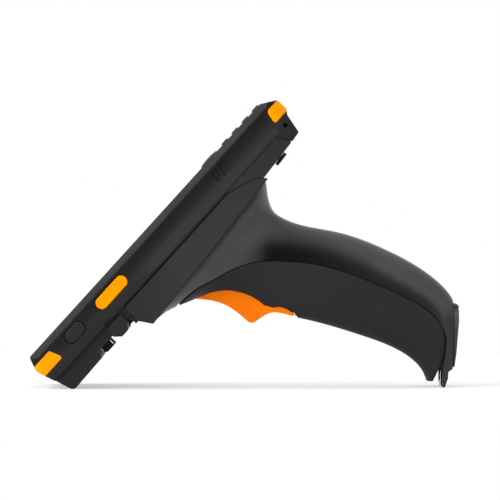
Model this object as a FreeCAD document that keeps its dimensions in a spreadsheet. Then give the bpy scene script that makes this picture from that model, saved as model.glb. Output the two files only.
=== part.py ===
import FreeCAD, Part
import math
import os

import Sketcher
from FreeCAD import Placement, Rotation, Vector

# Handheld barcode terminal with a pistol grip.
#
# Two frames are used. In the terminal frame +X runs from the head end to the keypad end,
# +Z is the outward normal of the front face and Z is zero on that face. In the level frame
# the axes are those of the surface the object stands on, with the same origin, and the grip
# is drawn there. Sizes are in millimetres.

SIZES = {
    # Stance: the front face against the surface it stands on
    "tilt_angle": 47.71,
    # Terminal body
    "body_length": 203.0,
    "body_width": 76.0,
    "plan_corner": 8.0,
    "split_depth": 19.6,
    "head_depth": 30.8,
    "head_length": 31.0,
    "head_fall": 0.6,
    "waist_depth": 26.3,
    "rear_start": 3.4,
    "rear_slant": 3.2,
    "tail_split_inset": 15.8,
    "tail_rim_inset": 11.2,
    "end_depth": 27.4,
    "wall": 1.8,
    "face_wall": 1.8,
    "rear_inset": 3.0,
    "bevel_depth": 3.8,
    "bevel_width": 2.4,
    "scoop_start": 72.6,
    "scoop_fade": 12.0,
    "scoop_end": 190.7,
    "scoop_top": 4.4,
    "scoop_bottom": 18.2,
    "scoop_depth": 1.2,
    "strap_slot_start": 147.6,
    "strap_slot_length": 10.2,
    "strap_slot_low_margin": 5.6,
    "strap_slot_high_margin": 1.6,
    "strap_slot_depth": 0.9,
    "strap_bar_place": 4.6,
    "strap_bar_width": 2.0,
    "strap_bar_slant": 2.4,
    "notch_place": 47.7,
    "notch_length": 4.2,
    "notch_height": 2.2,
    "notch_level": 19.5,
    "notch_depth": 1.2,
    "mic_place": 7.2,
    "mic_depth": 16.7,
    "mic_radius": 0.5,
    "seat_gap": 0.15,
    "part_gap": 0.3,
    # Screen
    "glass_length": 116.0,
    "glass_margin": 5.0,
    "glass_thickness": 1.1,
    "glass_corner": 5.0,
    "glass_start": 19.0,
    "display_end_margin": 8.0,
    "display_side_margin": 3.0,
    "display_thickness": 3.0,
    # Earpiece slot above the screen
    "earpiece_place": 11.5,
    "earpiece_length": 14.0,
    "earpiece_width": 1.6,
    # Number keys
    "key_length": 5.0,
    "key_width": 10.2,
    "key_corner": 1.6,
    "key_edge": 0.7,
    "key_thickness": 2.6,
    "key_proud": 0.9,
    "key_gap": 0.3,
    "key_travel": 0.6,
    "mat_thickness": 1.0,
    "mat_margin": 2.0,
    "key_pitch": 8.4,
    "key_margin": 8.1,
    "row_gap": 13.3,
    # Navigation cluster
    "cluster_gap": 17.7,
    "ring_length": 12.6,
    "ring_width": 24.0,
    "ring_corner": 5.6,
    "enter_radius": 3.6,
    "enter_proud": 1.3,
    "soft_key_width": 14.0,
    "soft_key_length": 9.6,
    "soft_key_offset": 22.4,
    # Buttons on the two long sides
    "side_key_length": 13.0,
    "side_key_height": 7.2,
    "side_key_corner": 3.1,
    "side_key_place": 31.1,
    "scan_button_length": 22.9,
    "scan_button_height": 6.9,
    "scan_button_corner": 3.4,
    "scan_button_place": 61.4,
    "side_button_depth": 9.5,
    "side_button_proud": 0.5,
    "side_button_edge": 0.5,
    "side_button_travel": 0.6,
    "side_button_flange": 0.8,
    # Corner bumpers
    "bumper_top": 5.7,
    "bumper_bottom": 13.6,
    "bumper_wall": 2.4,
    "bumper_wrap": 15.0,
    "head_bumper_short": 13.8,
    "head_bumper_long": 16.4,
    "tail_bumper_short": 8.7,
    "tail_bumper_long": 10.7,
    # Inside the terminal
    "board_thickness": 1.2,
    "board_depth": 8.2,
    "board_margin": 5.5,
    "deck_depth": 13.4,
    "deck_thickness": 1.5,
    "battery_start": 139.6,
    "battery_length": 43.4,
    "battery_margin": 3.4,
    "battery_thickness": 10.9,
    "cover_wall": 1.6,
    "cover_depth": 29.4,
    "cover_bend": 166.2,
    "latch_slide_length": 8.2,
    "latch_slide_width": 22.0,
    "latch_slide_height": 1.9,
    "latch_slide_place": 180.1,
    "latch_slide_travel": 3.0,
    "latch_stem": 2.4,
    # Scanner at the head end
    "window_width": 34.0,
    "window_height": 8.0,
    "window_thickness": 1.5,
    "window_depth": 25.4,
    "window_sink": 6.8,
    "engine_length": 15.0,
    "engine_width": 26.0,
    "engine_height": 8.4,
    "eye_offset": 7.0,
    "eye_radius": 2.6,
    # Strap anchor behind the head
    "anchor_start": 31.9,
    "anchor_length": 8.6,
    "anchor_width": 16.0,
    "anchor_slot": 1.0,
    "anchor_lip": 0.8,
    "anchor_depth": 30.5,
    # Holes for the hand strap's spring pin, one in each side of the keypad end
    "strap_pin_hole": 2.5,
    "strap_pin_reach": 8.0,
    "strap_pin_place": 195.6,
    "strap_pin_depth": 18.6,
    # Fasteners
    "screw_radius": 1.2,
    "screw_head_radius": 2.2,
    "screw_head_height": 1.4,
    "screw_length": 7.0,
    "screw_socket": 0.7,
    "screw_sink": 0.6,
    "grip_screw_length": 34.0,
    "grip_screw_sink": 3.0,
    # Cradle that carries the terminal
    "cradle_start": 60.0,
    "cradle_top": 21.0,
    "cradle_end": 167.2,
    "cradle_curve_start": 147.0,
    "cradle_lip_depth": 31.4,
    "chin_place": 64.1,
    "chin_depth": 38.6,
    "web_thickness": 2.4,
    "contact_length": 24.0,
    "contact_width": 14.0,
    "contact_height": 4.0,
    "contact_place": 96.0,
    # Front catch of the cradle
    "catch_start": 43.8,
    "catch_length": 11.6,
    "catch_floor": 3.9,
    "catch_chamfer": 3.4,
    "catch_travel": 2.0,
    "tongue_width": 24.0,
    "tongue_height": 2.0,
    # Grip
    "neck_half_width": 37.6,
    "grip_half_width": 17.6,
    "seam_gap": 0.25,
    "seam_round": 0.6,
    "arch_radius": 30.6,
    "finger_radius": 10.7,
    # Trigger
    "trigger_width": 19.0,
    "trigger_gap": 0.4,
    "trigger_angle": 6.0,
    "pivot_x": 104.0,
    "pivot_z": 42.0,
    "pin_radius": 1.5,
    "pin_length": 25.0,
    "pin_clearance": 0.05,
    "boss_radius": 4.2,
    "spring_outer": 3.2,
    "spring_inner": 1.9,
    "spring_width": 5.4,
    "spring_leg": 0.8,
    "switch_length": 8.0,
    "switch_width": 6.0,
    "switch_height": 5.0,
    # Base of the grip
    "cell_radius": 9.1,
    "cell_length": 48.0,
    "cell_gap": 0.25,
    "cell_sink": 6.0,
    "bay_angle": 26.0,
    "base_face": 239.9,
    "lid_width": 26.0,
    "lid_height": 32.4,
    "lid_hinge_x": 241.5,
    "lid_hinge_z": 30.0,
    "lid_barrel": 1.7,
    "lid_barrel_width": 16.0,
    "lid_thickness": 3.0,
    "lid_pin_radius": 0.7,
    "lid_ear": 3.0,
    "lanyard_wire": 0.8,
    "lanyard_width": 12.0,
    "lanyard_height": 8.2,
}

doc = FreeCAD.newDocument("terminal")
sheet = doc.addObject("Spreadsheet::Sheet", "sizes")
for row, (alias, value) in enumerate(SIZES.items(), start=1):
    sheet.set("A%d" % row, alias)
    sheet.set("B%d" % row, str(value))
    sheet.setAlias("B%d" % row, alias)
doc.recompute()


def size(alias):
    return float(sheet.get(alias))


# Frames
tilt = Placement(Vector(), Rotation(Vector(0, 1, 0), -size("tilt_angle")))
pieces = []


def levelled(x, z):
    """A point of the terminal's side view, in the level frame."""
    return tilt.multVec(Vector(x, 0, z))


def keep(item, label, frame, place=None):
    """Name a finished piece and remember the frame that it belongs to."""
    item.Label = label
    pieces.append((item, frame, place or Placement()))
    return item


def solid_piece(label, shape, frame):
    """A piece whose form comes from Part's own functions."""
    solid = shape.Solids[0] if len(shape.Solids) == 1 else shape
    item = doc.addObject("Part::Feature", label)
    item.Shape = solid
    return keep(item, label, frame)


# Shapes shared by several pieces
def block(low, high):
    """Box between two corners."""
    corner = Vector(*low)
    span = Vector(*high) - corner
    return Part.makeBox(span.x, span.y, span.z, corner)


def symmetric_block(x_low, x_high, width, z_low, z_high):
    return block((x_low, -width / 2, z_low), (x_high, width / 2, z_high))


def rounded_wire(corners, point):
    """Closed wire through (a, b, radius) corners; point turns (a, b) into space."""
    count = len(corners)
    edges = []
    last_end = None
    first_start = None
    for index in range(count):
        before = point(*corners[index - 1][:2])
        here = point(*corners[index][:2])
        after = point(*corners[(index + 1) % count][:2])
        radius = corners[index][2]
        back = (before - here).normalize()
        ahead = (after - here).normalize()
        half = back.getAngle(ahead) / 2
        start = here
        end = here
        if radius > 0:
            start = here + back * (radius / math.tan(half))
            end = here + ahead * (radius / math.tan(half))
            inward = (back + ahead).normalize()
            middle = here + inward * (radius / math.sin(half) - radius)
            arc = Part.Arc(start, middle, end).toShape()
        if last_end is not None and last_end.distanceToPoint(start) > 1e-6:
            edges.append(Part.makeLine(last_end, start))
        if radius > 0:
            edges.append(arc)
        if first_start is None:
            first_start = start
        last_end = end
    if last_end.distanceToPoint(first_start) > 1e-6:
        edges.append(Part.makeLine(last_end, first_start))
    return Part.Wire(edges)


def side_prism(corners, width, centre=0.0):
    """Side-view outline drawn out across the object's width."""
    low = centre - width / 2
    wire = rounded_wire(corners, lambda x, z: Vector(x, low, z))
    return Part.Face(wire).extrude(Vector(0, width, 0))


def plan_prism(x_low, x_high, width, radius, z_low, z_high):
    """Rounded rectangle in plan, between two levels."""
    half = width / 2
    corners = [
        (x_low, -half, radius),
        (x_high, -half, radius),
        (x_high, half, radius),
        (x_low, half, radius),
    ]
    wire = rounded_wire(corners, lambda x, y: Vector(x, y, z_low))
    return Part.Face(wire).extrude(Vector(0, 0, z_high - z_low))


def side_plate(x_low, x_high, z_low, z_high, radius, y_low, y_high):
    """Rounded rectangle in the side view, between two planes across the width."""
    corners = [
        (x_low, z_low, radius),
        (x_high, z_low, radius),
        (x_high, z_high, radius),
        (x_low, z_high, radius),
    ]
    wire = rounded_wire(corners, lambda x, z: Vector(x, y_low, z))
    return Part.Face(wire).extrude(Vector(0, y_high - y_low, 0))


def across(radius, x, z, width):
    """Cylinder across the object's width."""
    return Part.makeCylinder(radius, width, Vector(x, -width / 2, z), Vector(0, 1, 0))


def mirrored(shape):
    return shape.mirror(Vector(), Vector(0, 1, 0))


# Bodies padded from sketches
def origin_plane(body, role):
    return next(item for item in body.Origin.OriginFeatures if item.Role == role)


def new_sketch(body, name, role):
    sketch = body.newObject("Sketcher::SketchObject", name)
    sketch.AttachmentSupport = (origin_plane(body, role), [""])
    sketch.MapMode = "FlatFace"
    return sketch


def rectangle(sketch, length, width):
    """Rectangle about the sketch's centre, its sides bound to two expressions."""
    corners = [Vector(-1, -1), Vector(1, -1), Vector(1, 1), Vector(-1, 1)]
    for index in range(4):
        line = Part.LineSegment(corners[index], corners[(index + 1) % 4])
        sketch.addGeometry(line, False)
    for index in range(4):
        other = (index + 1) % 4
        sketch.addConstraint(Sketcher.Constraint("Coincident", index, 2, other, 1))
    for index, kind in enumerate(("Horizontal", "Vertical", "Horizontal", "Vertical")):
        sketch.addConstraint(Sketcher.Constraint(kind, index))
    sketch.addConstraint(Sketcher.Constraint("Symmetric", 0, 1, 2, 1, -1, 1))
    across_x = sketch.addConstraint(Sketcher.Constraint("DistanceX", 0, 1, 0, 2, 2.0))
    across_y = sketch.addConstraint(Sketcher.Constraint("DistanceY", 1, 1, 1, 2, 2.0))
    sketch.setExpression("Constraints[%d]" % across_x, length)
    sketch.setExpression("Constraints[%d]" % across_y, width)


def circle(sketch, radius):
    centre = Part.Circle(Vector(), Vector(0, 0, 1), 1.0)
    sketch.addGeometry(centre, False)
    sketch.addConstraint(Sketcher.Constraint("Coincident", 0, 3, -1, 1))
    bound = sketch.addConstraint(Sketcher.Constraint("Radius", 0, 1.0))
    sketch.setExpression("Constraints[%d]" % bound, radius)


def pad(body, sketch, thickness):
    feature = body.newObject("PartDesign::Pad", "Pad")
    feature.Profile = sketch
    feature.setExpression("Length", thickness)
    return feature


def pocket(body, sketch, depth):
    feature = body.newObject("PartDesign::Pocket", "Pocket")
    feature.Profile = sketch
    feature.Reversed = True
    feature.setExpression("Length", depth)
    return feature


def edge_names(shape, wanted):
    return ["Edge%d" % (i + 1) for i, edge in enumerate(shape.Edges) if wanted(edge)]


def round_edges(body, base, wanted, radius):
    doc.recompute()
    feature = body.newObject("PartDesign::Fillet", "Fillet")
    feature.Base = (base, edge_names(base.Shape, wanted))
    feature.setExpression("Radius", radius)
    return feature


def upright(edge):
    box = edge.BoundBox
    return box.ZLength > 1e-3 and box.XLength < 1e-6 and box.YLength < 1e-6


def at_top(edge):
    box = edge.BoundBox
    return box.ZLength < 1e-6 and box.ZMin > 1e-3


def cap(label, frame, place, length, width, thickness, corner, edge):
    """Moulded key cap or plate: a padded rectangle with round corners and a soft top edge."""
    body = doc.addObject("PartDesign::Body", label)
    outline = new_sketch(body, "Outline", "XY_Plane")
    rectangle(outline, length, width)
    top = pad(body, outline, thickness)
    if corner:
        top = round_edges(body, top, upright, corner)
    if edge:
        round_edges(body, top, at_top, edge)
    return keep(body, label, frame, place)


def disc(label, frame, place, radius, thickness, edge=None):
    """Round button or pin: a padded circle."""
    body = doc.addObject("PartDesign::Body", label)
    outline = new_sketch(body, "Outline", "XY_Plane")
    circle(outline, radius)
    top = pad(body, outline, thickness)
    if edge:
        round_edges(body, top, at_top, edge)
    return keep(body, label, frame, place)


# Terminal: outer form
def terminal_form():
    """Outer form of the terminal's main housing, before anything is cut from it."""
    length = size("body_length")
    split = size("split_depth")
    corners = [
        (3.6, 0.0, 1.6),
        (length - 8.4, 0.0, 3.0),
        (length, -5.6, 2.0),
        (length, -12.4, 1.5),
        (length - 2.4, -15.6, 1.5),
        (length - 5.2, -size("end_depth") + 0.7, 1.0),
        (length - size("tail_rim_inset"), -size("end_depth"), 0.4),
        (length - size("tail_split_inset"), -split, 0.0),
        (size("rear_start"), -split, 0.0),
        (0.0, -8.4, 5.0),
    ]
    side = side_prism(corners, size("body_width"))
    plan = plan_prism(
        0, length, size("body_width"), size("plan_corner"), -size("head_depth"), 1.0
    )
    return side.common(plan)


def bevels(form):
    """Long front edges cut back to a bevel."""
    half = size("body_width") / 2
    inner = half - size("bevel_width")
    wedge = Part.makePolygon(
        [
            Vector(-1, inner, 0.0),
            Vector(-1, half + 1, 0.0),
            Vector(-1, half + 1, -size("bevel_depth")),
            Vector(-1, half, -size("bevel_depth")),
            Vector(-1, inner, 0.0),
        ]
    )
    cutter = Part.Face(wedge).extrude(Vector(size("body_length") + 2, 0, 0))
    return form.cut(cutter).cut(mirrored(cutter))


def bumper_zone(tail):
    """Region that one corner bumper takes, on the +Y side."""
    half = size("body_width") / 2
    wall = size("bumper_wall")
    length = size("body_length")
    top = -size("bumper_top")
    bottom = -size("bumper_bottom")
    corner_radius = 1.2
    if tail:
        outline = [
            (length - size("tail_bumper_short"), top, corner_radius * 2),
            (length + 5, top, 0),
            (length + 5, bottom, 0),
            (length - size("tail_bumper_long"), bottom, corner_radius),
        ]
    else:
        outline = [
            (-5, top, 0),
            (size("head_bumper_short"), top, corner_radius),
            (size("head_bumper_long"), bottom, corner_radius),
            (-5, bottom, 0),
        ]
    wrap = size("bumper_wrap")
    zone = side_prism(outline, wrap + 1, half + 1 - (wrap + 1) / 2)
    core = plan_prism(
        wall, length - wall, size("body_width") - 2 * wall,
        size("plan_corner") - wall, bottom - 1, top + 1,
    )
    return zone.cut(core)


def glass_width():
    return size("body_width") - 2 * size("glass_margin")


def cluster_place():
    return size("glass_start") + size("glass_length") + size("cluster_gap")


def key_row_start():
    return cluster_place() + size("row_gap")


def key_column_pitch():
    return (size("body_width") - 2 * size("key_margin") - size("key_width")) / 4


def key_places():
    """Number keys as (name, x, y), row by row from the screen's end."""
    places = []
    for row in range(4):
        for column in range(5):
            x = key_row_start() + row * size("key_pitch")
            y = (column - 2) * key_column_pitch()
            places.append(("key_r%d_c%d" % (row + 1, column + 1), x, y))
    return places


def key_holes():
    """Openings in the front face for all the keys, each with its running gap."""
    gap = size("key_gap")
    low = -size("face_wall") - 1
    holes = []
    for _, x, y in key_places():
        holes.append((x, y, size("key_length"), size("key_width"), size("key_corner")))
    ring = (size("ring_length"), size("ring_width"), size("ring_corner"))
    holes.append((cluster_place(), 0.0) + ring)
    for side in (-1, 1):
        y = side * size("soft_key_offset")
        soft = (size("soft_key_length"), size("soft_key_width"), size("key_corner"))
        holes.append((cluster_place(), y) + soft)
    cutters = []
    for x, y, length, width, radius in holes:
        cutter = plan_prism(
            x - length / 2 - gap, x + length / 2 + gap, width + 2 * gap, radius + gap, low, 1
        )
        cutter.translate(Vector(0, y, 0))
        cutters.append(cutter)
    return cutters


def side_buttons():
    """Buttons on each long side as (name, x, length, height, corner)."""
    key = (size("side_key_length"), size("side_key_height"), size("side_key_corner"))
    scan = (size("scan_button_length"), size("scan_button_height"), size("scan_button_corner"))
    return [
        ("side_key", size("side_key_place")) + key,
        ("scan_button", size("scan_button_place")) + scan,
    ]


def side_holes():
    """Openings in the +Y side wall for the side buttons."""
    gap = size("key_gap")
    half = size("body_width") / 2
    z = -size("side_button_depth")
    cutters = []
    for _, x, length, height, radius in side_buttons():
        cutters.append(
            side_plate(
                x - length / 2 - gap, x + length / 2 + gap,
                z - height / 2 - gap, z + height / 2 + gap,
                radius + gap, half - size("wall") - 2, half + 1,
            )
        )
    return cutters


def scoop():
    """Long shallow scoop in the +Y side; it fades in towards the head end."""
    half = size("body_width") / 2
    chord = (size("scoop_bottom") - size("scoop_top")) / 2
    depth = size("scoop_depth")
    radius = (chord * chord + depth * depth) / (2 * depth)
    start = size("scoop_start")
    full = start + size("scoop_fade")
    y = half - depth + radius
    z = -(size("scoop_top") + size("scoop_bottom")) / 2
    run = Vector(1, 0, 0)
    fade = Part.makeCone(radius - depth, radius, full - start, Vector(start, y, z), run)
    length = size("scoop_end") - full
    return fade.fuse(Part.makeCylinder(radius, length, Vector(full, y, z), run))


def strap_slot():
    """Recess with a bar across it in the +Y side, for the end of a hand strap."""
    floor = size("body_width") / 2 - size("scoop_depth")
    start = size("strap_slot_start")
    end = start + size("strap_slot_length")
    low = -size("scoop_bottom") + size("strap_slot_low_margin")
    high = -size("scoop_top") - size("strap_slot_high_margin")
    room = side_plate(start, end, low, high, 1.2, floor - size("strap_slot_depth"), floor + 3)
    bar_start = start + size("strap_bar_place")
    bar_end = bar_start + size("strap_bar_width")
    slant = size("strap_bar_slant")
    bar = side_prism(
        [
            (bar_start, high + 1, 0.3),
            (bar_end, high + 1, 0.3),
            (bar_end - slant, low - 1, 0.3),
            (bar_start - slant, low - 1, 0.3),
        ],
        2.0, floor - 0.5,
    )
    return room.cut(bar)


def small_notch():
    """Small recess in the +Y side below the scoop."""
    x = size("notch_place")
    z = -size("notch_level")
    long = size("notch_length") / 2
    tall = size("notch_height") / 2
    half = size("body_width") / 2
    return side_plate(x - long, x + long, z - tall, z + tall, 0.9, half - size("notch_depth"), half + 1)


def microphone():
    half = size("body_width") / 2
    place = Vector(size("mic_place"), half - 1.2, -size("mic_depth"))
    return Part.makeCylinder(size("mic_radius"), 3, place, Vector(0, 1, 0))


def strap_pin_hole():
    half = size("body_width") / 2
    place = Vector(size("strap_pin_place"), half - size("strap_pin_reach"), -size("strap_pin_depth"))
    return Part.makeCylinder(size("strap_pin_hole") / 2, size("strap_pin_reach") + 1, place, Vector(0, 1, 0))


def both_sides(cutters):
    return cutters + [mirrored(cutter) for cutter in cutters]


def cavity_start():
    return size("rear_start") + size("wall")


def cavity_end():
    return size("body_length") - size("tail_rim_inset") - size("wall")


def cavity_width():
    return size("body_width") - 2 * size("wall") - 2 * size("scoop_depth")


def mat_space():
    """Room for the dome sheet behind the keys, just clear of a fully pressed key."""
    start = cluster_place() - size("ring_length") / 2 - size("mat_margin")
    end = key_row_start() + 3 * size("key_pitch") + size("key_length") / 2 + 1.0
    top = size("key_proud") - size("key_thickness") - size("key_travel") - 0.05
    return symmetric_block(start, end, cavity_width(), top - size("mat_thickness"), top)


def front_housing():
    wall = size("wall")
    split = size("split_depth")
    housing = bevels(terminal_form())
    cavity = plan_prism(
        cavity_start(), cavity_end(), cavity_width(),
        size("plan_corner") - wall, -split - 1, -size("face_wall"),
    )
    housing = housing.cut(cavity)
    glass_depth = size("glass_thickness") + size("seat_gap")
    glass_seat = plan_prism(
        size("glass_start") - size("seat_gap"),
        size("glass_start") + size("glass_length") + size("seat_gap"),
        glass_width() + 2 * size("seat_gap"),
        size("glass_corner"), -glass_depth, 1,
    )
    window = plan_prism(
        size("glass_start") + size("display_end_margin"),
        size("glass_start") + size("glass_length") - size("display_end_margin"),
        glass_width() - 2 * size("display_side_margin"), 1.0, -size("face_wall") - 1, 0,
    )
    ear = size("earpiece_place")
    earpiece = plan_prism(
        ear - size("earpiece_width") / 2, ear + size("earpiece_width") / 2,
        size("earpiece_length"), size("earpiece_width") / 2 - 0.01, -size("face_wall") - 4, 1,
    )
    cutters = [glass_seat, window, earpiece, mat_space()] + key_holes()
    cutters += both_sides(side_holes() + [scoop(), strap_slot(), microphone(), strap_pin_hole(), small_notch()])
    cutters += both_sides([bumper_zone(False), bumper_zone(True)])
    for cutter in cutters:
        housing = housing.cut(cutter)
    return solid_piece("front_housing", housing, "terminal")


def corner_bumpers():
    form = bevels(terminal_form())
    for name, tail in (("head", False), ("keypad", True)):
        right = form.common(bumper_zone(tail))
        solid_piece("%s_bumper_right" % name, right, "terminal")
        solid_piece("%s_bumper_left" % name, mirrored(right), "terminal")


def rear_width():
    return size("body_width") - 2 * size("rear_inset")


def rear_housing():
    split = size("split_depth")
    wall = size("wall")
    head = size("head_depth")
    waist = size("waist_depth")
    start = size("rear_start")
    back = size("battery_start") - size("seat_gap")
    outline = [
        (start, -split, 0.0),
        (start + size("rear_slant"), -head, 3.2),
        (size("head_length"), -head + size("head_fall"), 0.6),
        (size("head_length") + 1.2, -waist, 0.6),
        (back, -waist, 0.0),
        (back, -split, 0.0),
    ]
    width = rear_width()
    tray = side_prism(outline, width)
    plan = plan_prism(start, back + 20, width, size("plan_corner") - 3, -head - 1, 0)
    tray = tray.common(plan)
    hollow = symmetric_block(
        start + 8, back - wall, width - 2 * wall, -waist + wall, -split + 1
    )
    tray = tray.cut(hollow)
    deck_top = -size("deck_depth")
    deck_end = cavity_end() - 1.8
    deck = symmetric_block(
        back - wall, deck_end, width - 4, deck_top - size("deck_thickness"), deck_top
    )
    post = symmetric_block(back - wall, back, width - 4, -waist, deck_top)
    tray = tray.fuse([deck, post])
    tray = tray.cut(window_zone(-1)).cut(engine_zone())
    for x, y in housing_screw_places():
        tray = tray.cut(screw_space(x, y))
    return solid_piece("rear_housing", tray.removeSplitter(), "terminal")


def window_zone(start):
    depth = -size("window_depth")
    half = size("window_height") / 2
    end = size("window_sink") + size("window_thickness")
    return symmetric_block(start, end, size("window_width"), depth - half, depth + half)


def engine_zone():
    depth = -size("window_depth")
    half = size("engine_height") / 2
    start = size("window_sink") + size("window_thickness")
    end = start + size("engine_length")
    return symmetric_block(start, end, size("engine_width"), depth - half, depth + half)


def scanner():
    solid_piece("scan_window", window_zone(size("window_sink")), "terminal")
    engine = engine_zone()
    start = size("window_sink") + size("window_thickness")
    for side in (-1, 1):
        place = Vector(start, side * size("eye_offset"), -size("window_depth"))
        engine = engine.cut(Part.makeCylinder(size("eye_radius"), 1.2, place, Vector(1, 0, 0)))
    solid_piece("scan_engine", engine, "terminal")


def housing_screw_places():
    return [(15.0, -27.0), (15.0, 27.0), (50.0, -29.0), (50.0, 29.0)]


def back_level(x):
    """Depth of the rear housing's outer face at x."""
    if x < size("head_length"):
        corner = size("rear_start") + size("rear_slant")
        share = (x - corner) / (size("head_length") - corner)
        return size("head_depth") - share * size("head_fall")
    return size("waist_depth")


def screw(length):
    """Cap screw with a socket, its head's outer face at the origin, shank along +Z."""
    head = Part.makeCylinder(size("screw_head_radius"), size("screw_head_height"))
    shank = Part.makeCylinder(size("screw_radius"), length)
    socket = Part.makeCylinder(size("screw_socket"), size("screw_head_height") * 0.7)
    return head.fuse(shank).cut(socket).removeSplitter()


def screw_space(x, y):
    """Counterbored hole for one housing screw, head sunk below the outer face."""
    sink = size("screw_sink")
    level = -back_level(x)
    head = Part.makeCylinder(
        size("screw_head_radius"), sink + size("screw_head_height") + 1, Vector(x, y, level - 1)
    )
    shank = Part.makeCylinder(size("screw_radius"), size("screw_length") + sink, Vector(x, y, level))
    return head.fuse(shank)


def housing_screws():
    sink = size("screw_sink")
    group = []
    for x, y in housing_screw_places():
        one = screw(size("screw_length"))
        one.translate(Vector(x, y, -back_level(x) + sink))
        group.append(one)
    return solid_piece("housing_screws", Part.makeCompound(group), "terminal")


def screen():
    middle = size("glass_start") + size("glass_length") / 2
    thickness = size("glass_thickness")
    cap(
        "screen_glass", "terminal", Placement(Vector(middle, 0, -thickness - size("seat_gap")), Rotation()),
        "sizes.glass_length", "sizes.body_width - 2 * sizes.glass_margin", "sizes.glass_thickness",
        "sizes.glass_corner - sizes.seat_gap", "0.3 * sizes.glass_thickness",
    )
    under = -thickness - size("seat_gap") - size("display_thickness")
    cap(
        "display_module", "terminal", Placement(Vector(middle, 0, under), Rotation()),
        "sizes.glass_length - 2 * sizes.display_end_margin - 2 * sizes.seat_gap",
        "sizes.body_width - 2 * sizes.glass_margin - 2 * sizes.display_side_margin - 2 * sizes.seat_gap",
        "sizes.display_thickness", "0.8", None,
    )


def board():
    """Circuit board, notched behind each side button."""
    margin = size("board_margin")
    low = -size("board_depth") - size("board_thickness")
    width = cavity_width() - 2 * size("seat_gap")
    plate = plan_prism(
        cavity_start() + margin, cavity_end() - margin, width, 2.0, low, -size("board_depth")
    )
    reach = size("side_button_flange") + size("side_button_travel") + size("part_gap")
    for _, x, length, _, _ in side_buttons():
        half = length / 2 + size("side_button_flange") + size("part_gap")
        notch = block((x - half, width / 2 - reach, low - 1), (x + half, width / 2 + 1, 0))
        plate = plate.cut(notch).cut(mirrored(notch))
    return solid_piece("main_board", plate, "terminal")


def keypad_mat():
    solid_piece("keypad_mat", mat_space(), "terminal")


def keys():
    under = size("key_proud") - size("key_thickness")
    for label, x, y in key_places():
        cap(
            label, "terminal", Placement(Vector(x, y, under), Rotation()),
            "sizes.key_length", "sizes.key_width", "sizes.key_thickness",
            "sizes.key_corner", "sizes.key_edge",
        )
    for label, side in (("soft_key_left", -1), ("soft_key_right", 1)):
        place = Vector(cluster_place(), side * size("soft_key_offset"), under)
        cap(
            label, "terminal", Placement(place, Rotation()),
            "sizes.soft_key_length", "sizes.soft_key_width", "sizes.key_thickness",
            "sizes.key_corner", "sizes.key_edge",
        )
    centre = Vector(cluster_place(), 0, under)
    ring = cap(
        "navigation_ring", "terminal", Placement(centre, Rotation()),
        "sizes.ring_length", "sizes.ring_width", "sizes.key_thickness",
        "sizes.ring_corner", "sizes.key_edge",
    )
    doc.recompute()
    bore = new_sketch(ring, "Bore", "XY_Plane")
    circle(bore, "sizes.enter_radius + sizes.key_gap")
    pocket(ring, bore, "sizes.key_thickness + sizes.key_proud")
    disc(
        "enter_key", "terminal", Placement(centre, Rotation()),
        "sizes.enter_radius", "sizes.key_thickness + sizes.enter_proud - sizes.key_proud",
        "sizes.key_edge",
    )


def side_button(x, length, height, corner):
    """Cap through the +Y side wall, with a flange behind the wall that keeps it in."""
    flange = size("side_button_flange")
    z = -size("side_button_depth")
    outer = size("body_width") / 2 + size("side_button_proud")
    inner = cavity_width() / 2 - 0.05
    radius = min(corner, height * 0.49)
    button = side_plate(
        x - length / 2, x + length / 2, z - height / 2, z + height / 2, radius, inner - 0.1, outer
    )
    rim = [edge for edge in button.Edges if edge.BoundBox.YMin > outer - 1e-3]
    button = button.makeFillet(size("side_button_edge"), rim)
    grow = flange
    skirt = side_plate(
        x - length / 2 - grow, x + length / 2 + grow, z - height / 2 - grow, z + height / 2 + grow,
        radius + grow, inner - flange, inner,
    )
    return button.fuse(skirt).removeSplitter()


def side_button_caps():
    for name, x, length, height, corner in side_buttons():
        right = side_button(x, length, height, corner)
        solid_piece("%s_right" % name, right, "terminal")
        solid_piece("%s_left" % name, mirrored(right), "terminal")


def cover_end():
    return size("body_length") - size("tail_rim_inset") - 0.2


def cover_outline(inset):
    """Side outline of the battery cover, drawn in from its outer face by inset."""
    start = size("battery_start")
    length = size("body_length")
    gap = size("seat_gap")
    return [
        (start + inset, -size("split_depth") - gap, 0.0),
        (length - size("tail_split_inset") - gap - inset, -size("split_depth") - gap, 0.0),
        (cover_end() - gap - inset, -size("end_depth") + inset, 0.8 if inset == 0 else 0.2),
        (size("cover_bend"), -size("cover_depth") + inset, 4.0),
        (start + inset, -size("cover_depth") + inset, 0.0),
    ]


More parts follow.
